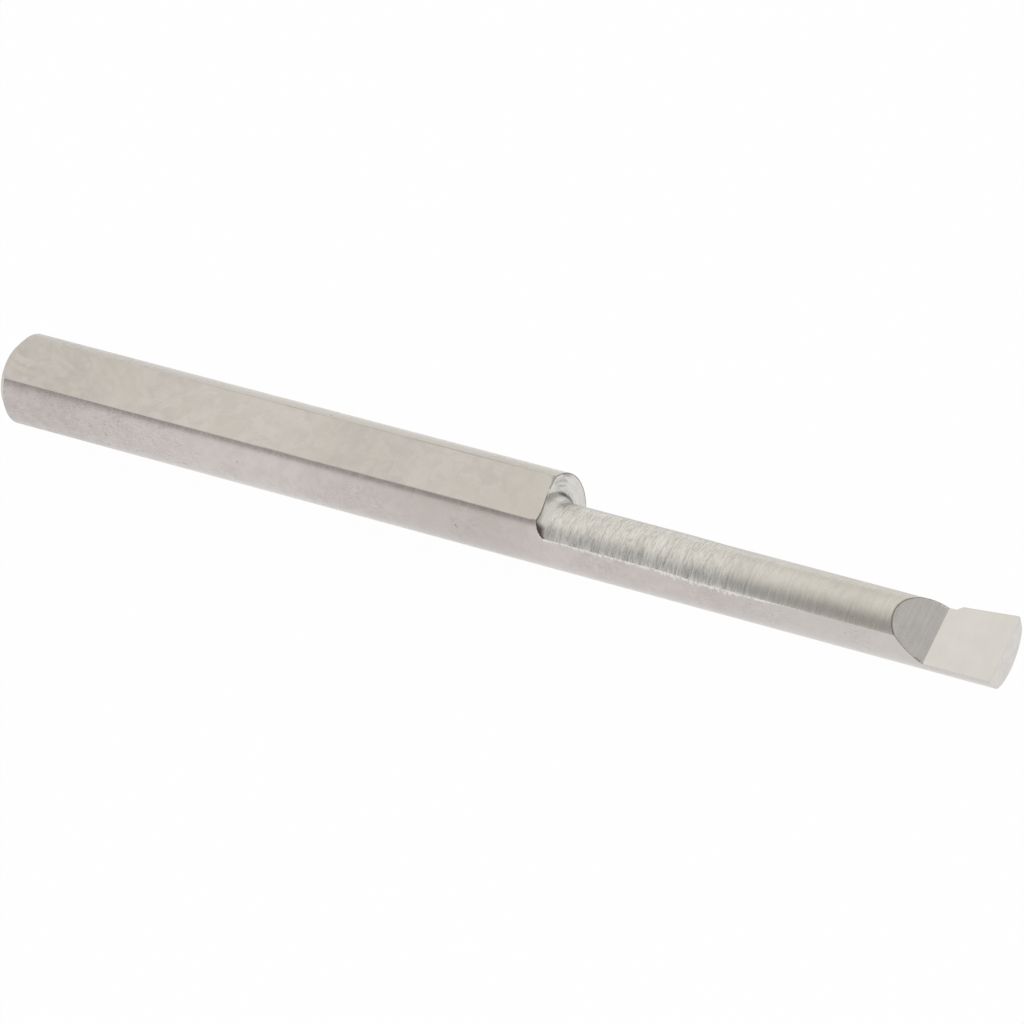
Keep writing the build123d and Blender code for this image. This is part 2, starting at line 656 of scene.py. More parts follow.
    def neck_edge(self, place: Array) -> Array:
        """Return the angle at which the neck meets the shank's round on the near side."""
        form = self.form
        y, z = form.crossing(np.minimum(form.wheel_radius(place), form.shank_radius))
        return np.arctan2(z - form.core[1], y - form.core[0])

    def edge_distance(self, laid: Laid) -> Array:
        """Return how far each point is from the nearest ground edge, up to a millimetre.

        Round a ring, an edge is a column on which two operations leave the same
        reach, and the distance to it is the difference of the lengths run round the
        ring. Along the bar, the edges are its ends and the shoulder's rim, and where
        the flat runs into the fillet the distance is the gap between the two.
        """
        form, points, cut = self.form, laid.points, laid.cut
        ranked = np.sort(laid.layers, 0)
        gap = ranked[1] - ranked[0]
        steps = np.linalg.norm(np.roll(points, -1, 1) - points, axis=-1)
        run = np.concatenate([np.zeros((len(steps), 1)), np.cumsum(steps, 1)[:, :-1]], 1)
        whole = steps.sum(1)[:, None, None]
        apart = np.abs(run[:, :, None] - run[:, None, :])
        apart = np.minimum(apart, whole - apart)
        near = np.where((gap < LEVEL)[:, None, :], apart, FAR).min(2)

        place, x = laid.rays.place, points[..., 0]
        near = np.minimum(near, form.overall_length - place)
        near = np.minimum(near, x)
        rim = ranked[0, cut - 1] - ranked[0, cut] > self.rim_gap
        near[:cut] = np.where(rim, np.minimum(near[:cut], form.shoulder - x[:cut]), near[:cut])
        beside = (place >= form.shoulder) & (place < form.shoulder + form.shoulder_fillet)
        beside = beside & (points[..., 2] > self.run_out_height)
        near = np.where(beside, np.minimum(near, self.run_out_scale * gap), near)
        return np.minimum(near, 1.0)

    def gash_distance(self, points: Array, kinds: Array) -> Array:
        """Return how far each point is from the gash's outline, as a share of gash_span.

        Outside the gash this is the distance below the ramp's plane, and on the
        ramp and the rake face it is the least depth below the wheel's round and
        the rod's round.
        """
        form = self.form
        x, y, z = np.moveaxis(points, -1, 0)
        below = np.abs(form.foot - x - z) / np.sqrt(2.0)
        wheel = form.wheel_radius(x) - np.hypot(y + form.neck_offset, z)
        rod = form.shank_radius - np.hypot(y, z)
        inside = (kinds == Ground.RAMP) | (kinds == Ground.RAKE)
        return np.clip(np.where(inside, np.minimum(wheel, rod), below) / self.gash_span, 0.0, 1.0)

    def rows(self, values: Array, cut: int, capped: float | None = None) -> Array:
        """Give the closing rows the values of the ring that each was drawn from.

        Args:
            values: A row for each ring.
            cut: How many of the rings are on the shank.
            capped: The value of the closing rows at both ends, if not their ring's.

        Returns:
            The rows with those of the back, the shoulder's face and the front put in.
        """
        first, last = values[:1], values[-1:]
        if capped is not None:
            first, last = np.full_like(first, capped), np.full_like(last, capped)
        return np.concatenate(
            [
                np.repeat(first, self.cap_steps, 0),
                values[:cut],
                np.repeat(values[cut : cut + 1], self.shoulder_steps - 1, 0),
                values[cut:],
                np.repeat(last, self.cap_steps, 0),
            ]
        )

    def close(self, laid: Laid) -> tuple[Array, Array]:
        """Close the skin's ends and the shoulder with rows of their own.

        The rows are the back face drawn out from the core, the shank, the shoulder's
        face, the neck and head, and the front face drawn in.

        Args:
            laid: The rings as laid out.

        Returns:
            All rows of points, and their distances from the nearest edge.
        """
        points, cut = laid.points, laid.cut
        core = self.form.at(laid.rays, np.zeros_like(laid.rays.turn))
        fill = (np.arange(self.cap_steps) / self.cap_steps)[:, None, None]
        back = core[0] + (points[0] - core[0]) * fill
        front = core[-1] + (points[-1] - core[-1]) * fill[::-1]
        blend = (np.arange(1, self.shoulder_steps) / self.shoulder_steps)[:, None, None]
        shoulder = points[cut - 1] + (points[cut] - points[cut - 1]) * blend
        grid = np.concatenate([back, points[:cut], shoulder, points[cut:], front])
        edge = self.rows(self.edge_distance(laid), cut)
        top = self.cap_steps + cut
        edge[top : top + len(shoulder)] = np.linalg.norm(shoulder - points[cut - 1], axis=-1)
        return grid, edge

    def cut_cells(self, laid: Laid, grid: Array) -> tuple[Array, Array]:
        """Cut each cell between the rows along the diagonal nearer the true surface.

        Args:
            laid: The rings as laid out.
            grid: All rows of points.

        Returns:
            The triangles' corners, and the ground surface that each triangle is on.
        """
        form, cut = self.form, laid.cut
        place, lean, turn = (self.rows(part, cut) for part in laid.rays)
        number = np.arange(turn.size).reshape(turn.shape)
        right = np.roll(number, -1, 1)
        a, b, c, d = number[:-1], right[:-1], right[1:], number[1:]
        wide = np.concatenate([turn, turn[:, :1] + 2.0 * np.pi], 1)
        middle = 0.25 * (wide[:-1, :-1] + wide[:-1, 1:] + wide[1:, :-1] + wide[1:, 1:])
        middle = Rays(0.5 * (place[:-1] + place[1:]), 0.5 * (lean[:-1] + lean[1:]), middle)
        wheeled = middle.place[:, 0] > form.shoulder
        true = form.at(middle, form.reaches_along(middle, wheeled).min(0))
        flat = grid.reshape(-1, 3)
        one = np.linalg.norm(0.5 * (flat[a] + flat[c]) - true, axis=-1)
        two = np.linalg.norm(0.5 * (flat[b] + flat[d]) - true, axis=-1)
        straight = (one <= two)[..., None]
        upper = np.where(straight, np.stack([a, b, c], -1), np.stack([a, b, d], -1))
        lower = np.where(straight, np.stack([a, c, d], -1), np.stack([b, c, d], -1))

        surfaces = []
        top = self.cap_steps + cut - 1
        for corners in (upper, lower):
            turns = turn.ravel()[corners]
            far_round = turns < turns.max(-1, keepdims=True) - np.pi
            centre = np.where(far_round, turns + 2.0 * np.pi, turns).mean(-1)
            row = corners // turn.shape[1]
            there = place[row, 0].mean(-1)
            centre = Rays(there, lean[row, 0].mean(-1), centre)
            kinds = form.reaches_along(centre, wheeled).argmin(0)
            run_out = form.shoulder + form.shoulder_fillet
            kinds[(kinds == Ground.NECK) & (there < run_out)] = Ground.FILLET
            kinds[: self.cap_steps] = Ground.BACK
            kinds[-self.cap_steps :] = Ground.FRONT
            kinds[top : top + self.shoulder_steps] = Ground.SHOULDER
            surfaces.append(kinds.ravel())
        return np.concatenate([upper, lower]).reshape(-1, 3), np.concatenate(surfaces)

    def build(self, name: str) -> bpy.types.Object:
        """Make the closed mesh of the bar.

        Points that fall together are made one, and triangles with no area are
        dropped.

        Args:
            name: The piece's name.

        Returns:
            The piece, at the origin, each triangle with the number of its ground
            surface, and with the masks that the finishes use held on its points.
        """
        form, laid = self.form, self.lay_out()
        grid, edge = self.close(laid)
        triangles, kinds = self.cut_cells(laid, grid)
        flat = grid.reshape(-1, 3)
        held = {
            "edge": edge,
            "gash": self.rows(self.gash_distance(laid.points, laid.layers.argmin(0)), laid.cut),
            "lip": self.rows(laid.lip, laid.cut, 0.0),
            "smear": self.rows(laid.smear, laid.cut, 0.0),
            "root": np.clip((flat[:, 0] - form.shoulder) / form.shoulder_fillet, -1.0, 2.0),
        }
        _, first, same = np.unique(
            np.round(flat, self.weld_digits), axis=0, return_index=True, return_inverse=True
        )
        triangles = same.ravel()[triangles]
        whole = (triangles != np.roll(triangles, -1, 1)).all(1)
        triangles, kinds = triangles[whole], kinds[whole]
        vertices = flat[first]
        vertices[:, 0] += form.lean_back(vertices)

        mesh = bpy.data.meshes.new(name)
        mesh.from_pydata((vertices * MM).tolist(), [], triangles.tolist())
        mesh.polygons.foreach_set("material_index", kinds.astype(np.int32))
        mesh.polygons.foreach_set("use_smooth", np.ones(len(triangles), bool))
        for label, values in held.items():
            kept = mesh.attributes.new(label, "FLOAT", "POINT")
            kept.data.foreach_set("value", values.ravel()[first].astype(np.float32))
        self.mark_edges(mesh, vertices[triangles], kinds)
        mesh.update()
        piece = bpy.data.objects.new(name, mesh)
        bpy.context.scene.collection.objects.link(piece)
        log.info("%s has %d points and %d triangles", name, len(vertices), len(triangles))
        return piece

    def mark_edges(self, mesh: bpy.types.Mesh, corners: Array, kinds: Array) -> None:
        """Mark as sharp each edge at which two surfaces meet at more than sharp_angle.

        Args:
            mesh: The bar's mesh.
            corners: The three corners of each triangle.
            kinds: The ground surface that each triangle is on.
        """
        normals = np.cross(corners[:, 1] - corners[:, 0], corners[:, 2] - corners[:, 0])
        normals /= np.maximum(np.linalg.norm(normals, axis=1, keepdims=True), TINY * TINY)
        borders = np.zeros(len(mesh.loops), np.int32)
        mesh.loops.foreach_get("edge_index", borders)
        owner = np.repeat(np.arange(len(corners)), 3)
        order = np.argsort(borders, kind="stable")
        borders, owner = borders[order], owner[order]
        pair = borders[:-1] == borders[1:]
        one, two, where = owner[:-1][pair], owner[1:][pair], borders[:-1][pair]
        bend = (normals[one] * normals[two]).sum(1)
        sharp = np.zeros(len(mesh.edges), bool)
        sharp[where] = (kinds[one] != kinds[two]) & (bend < np.cos(np.radians(self.sharp_angle)))
        held = mesh.attributes.new("sharp_edge", "BOOLEAN", "EDGE")
        held.data.foreach_set("value", sharp)
        log.info("%d of %d edges are shared by two faces", int(pair.sum()), len(mesh.edges))


class Pattern(NamedTuple):
    """A noise: its squeeze along X, Y and Z, and its scale in turns a millimetre."""

    squeeze: Tone
    scale: float
    detail: float = 3.0
    rough: float = 0.5
    warp: float = 0.0


EVEN: Tone = (1.0, 1.0, 1.0)


class Nodes:
    """Puts shader nodes into a tree and joins them."""

    def __init__(self, tree: Tree) -> None:
        """Take the tree that nodes go into."""
        self.tree = tree

    def add(self, kind: str, **settings: object) -> Node:
        """Return a new node with its own settings and plain input values.

        Args:
            kind: The node's type.
            **settings: Attributes of the node, or values or joins for its inputs,
                under the input's name with spaces as underscores.

        Returns:
            The node.
        """
        node = self.tree.nodes.new(kind)
        inputs = {}
        for key, value in settings.items():
            if key in node.bl_rna.properties:
                setattr(node, key, value)
            else:
                inputs[key] = value
        for key, value in inputs.items():
            self.feed(self.socket(node, key), value)
        return node

    def socket(self, node: Node, key: str) -> Socket:
        """Return the usable input that a key names, by its name or its number."""
        if key.startswith("in_"):
            return node.inputs[int(key[3:])]
        name = key.replace("_", " ")
        return next(s for s in node.inputs if s.name == name and s.enabled)

    def feed(self, socket: Socket, value: object) -> None:
        """Join an output to a socket, or set the socket's own value."""
        if isinstance(value, Socket):
            self.tree.links.new(value, socket)
        elif isinstance(value, tuple) and len(value) == 3 and socket.type == "RGBA":
            socket.default_value = (*value, 1.0)
        else:
            socket.default_value = value

    def use(self, group: Tree, place: Socket, **values: float) -> list[Socket]:
        """Return the outputs of a group that is given the place and some values."""
        node = self.add("ShaderNodeGroup", node_tree=group, Vector=place, **values)
        return list(node.outputs)

    def held(self, label: str) -> Socket:
        """Return a value that the mesh holds on its points."""
        return self.add("ShaderNodeAttribute", attribute_name=label).outputs["Fac"]

    def split(self, vector: Socket) -> list[Socket]:
        """Return a vector's three parts."""
        return list(self.add("ShaderNodeSeparateXYZ", Vector=vector).outputs)

    def math(self, operation: str, one: object, two: object = 0.0, clamp: bool = False) -> Socket:
        """Return the result of an operation on two numbers or outputs."""
        node = self.add("ShaderNodeMath", operation=operation, use_clamp=clamp, in_0=one, in_1=two)
        return node.outputs[0]

    def times(self, one: object, two: object) -> Socket:
        """Return the product of two values."""
        return self.math("MULTIPLY", one, two)

    def plus(self, one: object, two: object, clamp: bool = False) -> Socket:
        """Return the sum of two values, held between 0 and 1 if clamp is set."""
        return self.math("ADD", one, two, clamp)

    def less(self, one: object, two: object) -> Socket:
        """Return one value less another."""
        return self.math("SUBTRACT", one, two)

    def most(self, one: object, two: object) -> Socket:
        """Return the greater of two values."""
        return self.math("MAXIMUM", one, two)

    def length(self, one: Socket, two: Socket) -> Socket:
        """Return the square root of the sum of two values' squares."""
        return self.math("SQRT", self.plus(self.times(one, one), self.times(two, two)))

    def ramp(
        self, value: object, low: float, high: float, start: float = 0.0, end: float = 1.0
    ) -> Socket:
        """Return a value eased from start at low to end at high, and held beyond."""
        node = self.add(
            "ShaderNodeMapRange",
            interpolation_type="SMOOTHSTEP",
            Value=value,
            From_Min=low,
            From_Max=high,
            To_Min=start,
            To_Max=end,
        )
        return node.outputs[0]

    def mix(self, share: object, one: object, two: object, blend: str = "MIX") -> Socket:
        """Return two colours mixed by a share, in the way that blend names."""
        node = self.tree.nodes.new("ShaderNodeMix")
        node.data_type = "RGBA"
        node.blend_type = blend
        for number, value in ((0, share), (6, one), (7, two)):
            self.feed(node.inputs[number], value)
        return node.outputs[2]

    def noise(
        self,
        vector: Socket,
        scale: object,
        detail: float = 3.0,
        rough: object = 0.5,
        warp: object = 0.0,
    ) -> Socket:
        """Return the value of a noise whose scale is in turns a millimetre."""
        node = self.add(
            "ShaderNodeTexNoise",
            Vector=vector,
            Scale=scale,
            Detail=detail,
            Roughness=rough,
            Distortion=warp,
        )
        return node.outputs[0]

    def pattern(self, place: Socket, pattern: Pattern) -> Socket:
        """Return a pattern's value at each place."""
        squeeze, *settings = pattern
        return self.noise(place if squeeze == EVEN else self.stretch(place, squeeze), *settings)

    def stretch(self, vector: Socket, scale: Tone) -> Socket:
        """Return a vector scaled along each axis."""
        return self.add("ShaderNodeMapping", Vector=vector, Scale=scale).outputs[0]


def start_tree(owner: bpy.types.Material | bpy.types.World, output: str) -> tuple[Nodes, Socket]:
    """Empty the tree of a material or a world and start it again.

    Args:
        owner: The material or world.
        output: The kind of its output node.

    Returns:
        The helper for the tree, and the socket that takes the shader.
    """
    owner.use_nodes = True
    nodes = Nodes(owner.node_tree)
    owner.node_tree.nodes.clear()
    return nodes, nodes.add(output).inputs[0]


def new_group(
    name: str, values: dict[str, float], outputs: tuple[str, ...]
) -> tuple[Nodes, list[Socket], list[Socket]]:
    """Start a shader node group that takes a vector and some values.

    Args:
        name: The group's name.
        values: Each value's name and what it is if nothing is joined to it.
        outputs: The names of the values that the group puts out.

    Returns:
        The helper for the group's tree, what the group is given, and the sockets
        that take what it puts out.
    """
    tree = bpy.data.node_groups.new(name, "ShaderNodeTree")
    tree.interface.new_socket("Vector", in_out="INPUT", socket_type="NodeSocketVector")
    for label, value in values.items():
        socket = tree.interface.new_socket(label, in_out="INPUT", socket_type="NodeSocketFloat")
        socket.default_value = value
    for label in outputs:
        tree.interface.new_socket(label, in_out="OUTPUT", socket_type="NodeSocketFloat")
    nodes = Nodes(tree)
    given, out = nodes.add("NodeGroupInput"), nodes.add("NodeGroupOutput")
    return nodes, list(given.outputs), list(out.inputs)


@dataclass(frozen=True)
class Effects:
    """The effects that the bar's finishes share, each a shader node group."""

    clouding: Tree
    wheel_lines: Tree
    pitting: Tree
    edge_rub: Tree
    outline: Tree

    @classmethod
    def make(cls) -> "Effects":
        """Build every group once."""
        return cls(
            cls.make_clouding(),
            cls.make_wheel_lines(),
            cls.make_pitting(),
            cls.make_band("Edge rub", "edge"),
            cls.make_band("Gash outline", "gash"),
        )

    @staticmethod
    def make_clouding() -> Tree:
        """Return soft blotches: a broad noise with a finer one beside it."""
        nodes, given, out = new_group("Clouding", {"Scale": 3.0, "Warp": 0.6}, ("Broad", "Fine"))
        vector, scale, warp = given[:3]
        broad = nodes.noise(vector, scale, 2.0, 0.55, warp)
        fine = nodes.noise(vector, nodes.times(scale, 5.3), 4.0, 0.65)
        nodes.feed(out[0], nodes.ramp(broad, 0.3, 0.7))
        nodes.feed(out[1], nodes.ramp(fine, 0.28, 0.72))
        return nodes.tree

    @staticmethod
    def make_wheel_lines() -> Tree:
        """Return the marks of a grinding wheel, drawn out in one direction.

        The vector is already squeezed along the marks. Two noises, one coarse and
        one fine, are summed and spread out.
        """
        nodes, given, out = new_group(
            "Wheel lines", {"Pitch": 8.0, "Break": 0.5}, ("Lines", "Glints")
        )
        vector, pitch, broken = given[:3]
        coarse = nodes.noise(vector, pitch, 3.0, broken)
        fine = nodes.noise(vector, nodes.times(pitch, 2.7), 2.0, 0.6)
        both = nodes.plus(nodes.times(coarse, 0.6), nodes.times(fine, 0.4))
        nodes.feed(out[0], nodes.ramp(both, 0.34, 0.66))
        nodes.feed(out[1], nodes.ramp(both, 0.56, 0.68))
        return nodes.tree

    @staticmethod
    def make_pitting() -> Tree:
        """Return scattered pits: the low tips of a noise, thinned out by a broader one."""
        nodes, given, out = new_group("Pitting", {"Scale": 9.0, "Share": 0.3}, ("Pits",))
        vector, scale, share = given[:3]
        spots = nodes.noise(vector, scale, 2.0)
        patch = nodes.noise(vector, nodes.times(scale, 0.13), 1.0)
        low = nodes.plus(spots, nodes.times(nodes.less(0.5, patch), 0.35))
        nodes.feed(out[0], nodes.ramp(nodes.less(share, low), 0.0, 0.06))
        return nodes.tree

    @staticmethod
    def make_band(name: str, distance: str) -> Tree:
        """Return a broken band beside some edges, from the skin's distances to them.

        Args:
            name: The group's name.
            distance: The attribute that holds the distances.

        Returns:
            A group whose mask is 1 at the edges and 0 past an uneven width.
        """
        nodes, given, out = new_group(name, {"Width": 0.06}, ("Band",))
        wide = nodes.times(given[1], nodes.plus(nodes.noise(given[0], 7.0, 3.0, 0.6), 0.4))
        share = nodes.math("DIVIDE", nodes.held(distance), wide)
        nodes.feed(out[0], nodes.ramp(share, 0.35, 1.0, 1.0, 0.0))
        return nodes.tree


class At(Enum):
    """What a share can follow at a place: its parts, the skin's masks and the marks."""

    X = "x"
    Y = "y"
    Z = "z"
    LIP = "lip"
    SMEAR = "smear"
    ROOT = "root"
    EDGE = "edge"
    LINES = "lines"
    GLINTS = "glints"
    STRENGTH = "strength"
    WHORLS = "whorls"
    PITS = "pits"
    RUB = "rub"
    OUTLINE = "outline"


class Ease(NamedTuple):
    """A source eased from start at low to end at high, and held beyond."""

    source: At | Pattern
    low: float
    high: float
    start: float = 0.0
    end: float = 1.0


class Most(NamedTuple):
    """The greater of two shares."""

    one: object
    two: object


class Sum(NamedTuple):
    """The sum of two shares."""

    one: object
    two: object


# A plain tuple of shares is their product.
Share = float | At | tuple


class Blend(NamedTuple):
    """A tone that goes from one to another by a share."""

    one: Tone
    two: Tone
    share: Share


class Layer(NamedTuple):
    """A tone laid over a surface by a share."""

    name: str
    tone: Tone | Blend
    share: Share


def over(name: str, tone: Tone | Blend, *shares: Share) -> Layer:
    """Return a layer whose share is the product of some shares."""
    return Layer(name, tone, shares)


class Spot:
    """A place on a surface, whose sources are each worked out once."""

    wander: Pattern = Pattern(EVEN, 9.0, 2.0)
    wander_size: float = 0.10
    wanders: dict[At, float] = {At.ROOT: 1.0, At.EDGE: 0.6}
    whorl_offset: float = 4.0
    whorl_bend: Pattern = Pattern(EVEN, 0.9, 2.0, 0.6)
    whorl_waves: float = 16.0
    whorl_crests: Span = (-0.4, 1.0)
    whorl_breaks: Ease = Ease(Pattern(EVEN, 0.8, 1.0), 0.42, 0.58)
    whorl_least: float = 0.3
    whorl_run: Ease = Ease(At.X, 2.0, 6.5, 0.28, 0.0)

    def __init__(self, nodes: Nodes) -> None:
        """Take the tree's helper and find the place, in millimetres, and its three parts."""
        self.nodes = nodes
        place = nodes.add("ShaderNodeTexCoord").outputs["Object"]
        self.place = nodes.stretch(place, (1.0 / MM, 1.0 / MM, 1.0 / MM))
        self.known: dict[object, object] = dict(zip(At, nodes.split(self.place)))

    def read(self, source: At | Pattern) -> object:
        """Return a source's socket, made when it is first asked for."""
        if source not in self.known:
            if isinstance(source, Pattern):
                self.known[source] = self.nodes.pattern(self.place, source)
            elif source is At.WHORLS:
                self.known[source] = self.whorls()
            else:
                self.known[source] = self.masked(source)
        return self.known[source]

    def masked(self, source: At) -> Socket:
        """Return a mask that the skin holds, made to wander a little if it is a distance."""
        held = self.nodes.held(source.value)
        if source not in self.wanders:
            return held
        uneven = self.nodes.times(self.nodes.less(self.read(self.wander), 0.5), self.wander_size)
        return self.nodes.plus(held, self.nodes.times(uneven, self.wanders[source]))

    def whorls(self) -> Socket:
        """Return faint broken arcs round a point off the bar, fading from its back end.

        They are a wave of the distance from that point, bent by a noise.
        """
        nodes = self.nodes
        away = nodes.length(self.read(At.X), nodes.plus(self.read(At.Y), self.whorl_offset))
        away = nodes.plus(away, self.read(self.whorl_bend))
        wave = nodes.math("SINE", nodes.times(away, self.whorl_waves))
        patch = nodes.times(self.share(self.whorl_breaks), 1.0 - self.whorl_least)
        patch = nodes.plus(patch, self.whorl_least)
        arcs = nodes.times(nodes.ramp(wave, *self.whorl_crests), patch)
        return nodes.times(arcs, self.share(self.whorl_run))

    def share(self, share: Share) -> object:
        """Return the number or the socket of a share."""
        if isinstance(share, float):
            return share
        if isinstance(share, (At, Pattern)):
            return self.read(share)
        if isinstance(share, Ease):
            return self.nodes.ramp(self.read(share.source), *share[1:])
        join = {Most: self.nodes.most, Sum: self.nodes.plus}.get(type(share), self.nodes.times)
        return reduce(join, map(self.share, share))

    def lay(self, tone: Socket, layers: tuple[Layer, ...]) -> Socket:
        """Return a tone with layers laid over it in turn."""
        for layer in layers:
            top = layer.tone
            if isinstance(top, Blend):
                top = self.nodes.mix(self.share(top.share), top.one, top.two)
            tone = self.nodes.mix(self.share(layer.share), tone, top)
            tone.node.label = layer.name
        return tone

    def run(self, grain: Tone, axis: float | None) -> Socket:
        """Return the vector that the wheel's marks follow.

        Args:
            grain: The squeeze along each axis, if the marks run straight.
            axis: The Y of the line along X that they run round, if they do. The
                vector changes fast away from it and by the grain's shares round it.

        Returns:
            The vector.
        """
        if axis is None:
            return self.nodes.stretch(self.place, grain)
        across, height = self.nodes.plus(self.read(At.Y), -axis), self.read(At.Z)
        run = self.nodes.add(
            "ShaderNodeCombineXYZ",
            X=self.nodes.length(across, height),
            Y=self.nodes.times(across, grain[1]),
            Z=self.nodes.times(height, grain[2]),
        )
        return run.outputs[0]


@dataclass(frozen=True)
class GroundFinish:
    """How some of the ground surfaces look.

    Attributes:
        name: The material's name.
        covers: The surfaces that it is for.
        pale: The paler of its two tones.
        deep: The deeper of its two tones.
        grain: How the wheel's marks are squeezed along X, Y and Z, in turns.
        axis: The Y of the line that the marks run round, or None if they run straight.
        pitch: How close the wheel's marks are, in turns a millimetre.
        strength: How strong the marks are at each place.
        marks: How much the marks darken the tone.
        cut: How deep the marks are, in millimetres.
        gloss: The least and the most roughness.
        handled: How much rougher handling has left each place.
        clouds: The scale of the blotches, in turns a millimetre.
        mottle: How much the finer blotches tell.
        pits: The share of the surface that may be pitted.
        rub_tone: The tone beside the edges.
        rub_width: How wide the rubbed edge is, in millimetres.
        rub: How strongly it shows.
        outline: How strongly the gash's outline shows as a dark line.
        layers: The tones laid over the two, before the pits and the rubbed edges.
    """

    name: str
    covers: tuple[Ground, ...]
    pale: Tone
    deep: Tone
    grain: Tone = EVEN
    axis: float | None = None
    pitch: float = 8.0
    strength: Share = 1.0
    marks: float = 0.1
    cut: float = 0.0006
    gloss: Span = (0.24, 0.36)
    handled: Share = 0.0
    clouds: float = 2.0
    mottle: float = 0.3
    pits: float = 0.28
    rub_tone: Tone = (0.70, 0.69, 0.66)
    rub_width: float = 0.05
    rub: Share = 0.4
    outline: float = 0.0
    layers: tuple[Layer, ...] = ()
    # The rest is the same for every finish.
    wash: Ease = Ease(Pattern((1.0, 0.3, 0.3), 0.16, 1.0), 0.35, 0.65, -0.3, 0.3)
    broken: float = 0.6
    middle_mark: float = 0.6
    cloud_warp: float = 0.6
    cloud_gloss: float = 0.4
    mark_gloss: float = 0.6
    gloss_spread: Span = (0.1, 0.9)
    shade: float = 1.5
    pit_scale: float = 7.0
    pit_tone: Tone = (0.22, 0.19, 0.16)
    pit_dark: float = 0.75
    pit_depth: float = 2.0
    outline_width: float = 0.042
    outline_tone: Tone = (0.24, 0.22, 0.19)

    def make(self, effects: Effects) -> bpy.types.Material:
        """Build the material from the shared effects."""
        material = bpy.data.materials.new(self.name)
        nodes, surface = start_tree(material, "ShaderNodeOutputMaterial")
        spot = Spot(nodes)
        place, known = spot.place, spot.known
        cloud = nodes.use(effects.clouding, place, Scale=self.clouds, Warp=self.cloud_warp)
        run = spot.run(self.grain, self.axis)
        lines = nodes.use(effects.wheel_lines, run, Pitch=self.pitch, Break=self.broken)
        known[At.LINES], known[At.GLINTS] = lines[:2]
        known[At.STRENGTH] = spot.share(self.strength)
        pits = nodes.use(effects.pitting, place, Scale=self.pit_scale, Share=self.pits)[0]
        known[At.PITS] = pits
        known[At.RUB] = nodes.use(effects.edge_rub, place, Width=self.rub_width)[0]
        layers = self.layers + (
            over("pits", self.pit_tone, At.PITS, self.pit_dark),
            over("rubbed edges", self.rub_tone, At.RUB, self.rub),
        )
        if self.outline > 0.0:
            known[At.OUTLINE] = nodes.use(effects.outline, place, Width=self.outline_width)[0]
            layers += (over("outline", self.outline_tone, At.OUTLINE, self.outline),)
        marks = nodes.times(lines[0], known[At.STRENGTH])
        spread = nodes.times(marks, self.mark_gloss)
        spread = nodes.plus(nodes.times(cloud[1], self.cloud_gloss), spread)
        rough = nodes.ramp(spread, *self.gloss_spread, *self.gloss)
        rough = nodes.plus(rough, spot.share(self.handled))
        height = nodes.less(marks, nodes.times(pits, self.pit_depth))
        bump = nodes.add("ShaderNodeBump", Strength=1.0, Distance=self.cut * MM, Height=height)
        shader = nodes.add(
            "ShaderNodeBsdfPrincipled",
            Base_Color=spot.lay(self.tone(spot, *cloud[:2]), layers),
            Metallic=1.0,
            Roughness=rough,
            Normal=bump.outputs[0],
        )
        nodes.feed(surface, shader.outputs[0])
        return material

    def tone(self, spot: Spot, broad: Socket, fine: Socket) -> Socket:
        """Return the surface's two tones, mixed by the blotches and shaded by the marks."""
        nodes = spot.nodes
        share = nodes.plus(nodes.times(broad, 1.0 - self.mottle), nodes.times(fine, self.mottle))
        tone = nodes.mix(nodes.plus(share, spot.share(self.wash), True), self.deep, self.pale)
        marks = nodes.less(spot.read(At.LINES), self.middle_mark)
        marks = nodes.times(marks, spot.read(At.STRENGTH))
        shade = nodes.plus(1.0, nodes.times(marks, self.shade * self.marks))
        grey = nodes.add("ShaderNodeCombineColor", Red=shade, Green=shade, Blue=shade)
        return nodes.mix(1.0, tone, grey.outputs[0], "MULTIPLY")


DULL: Tone = (0.475, 0.430, 0.400)
SCUFF: Tone = (0.40, 0.36, 0.34)
# Dark grey of the neck's dark rings, also used as painted shade on the neck.
RING_AND_SHADE: Tone = (0.30, 0.29, 0.27)
# Pale tone of bare ground metal, also used for painted glints on the neck.
BARE_AND_GLINT: Tone = (0.86, 0.845, 0.80)
SCORE: Tone = (0.30, 0.30, 0.29)
SCUFFS = Pattern((0.45, 1.0, 1.0), 4.2, 3.0, 0.6, 1.6)
GOUGES = Pattern((0.55, 1.0, 1.0), 4.6, 1.0, 0.5, 1.2)
FLAKES = Pattern((1.0, 0.35, 0.35), 9.0, 3.0, 0.6)
STRETCHES = Pattern((1.0, 0.1, 0.1), 0.5, 2.0)
STREAKS = Pattern((1.0, 0.03, 0.03), 13.0, 3.0, 0.8)
SPECKLES = Pattern((1.0, 0.20, 0.20), 15.0, 4.0, 0.8)
DRAGS = Pattern((1.0, 0.05, 0.05), 9.0, 3.0, 0.65)
RINGED = (Ease(At.Y, -1.10, -0.70, 1.0, 0.2), At.STRENGTH)
# Where the fillet runs out at the near edge: the mask of its painted dark reflection.
RUN_OUT = (Ease(At.Y, -1.04, -0.80, 1.0, 0.0), Ease(At.ROOT, 0.60, 0.98, 1.0, 0.0))

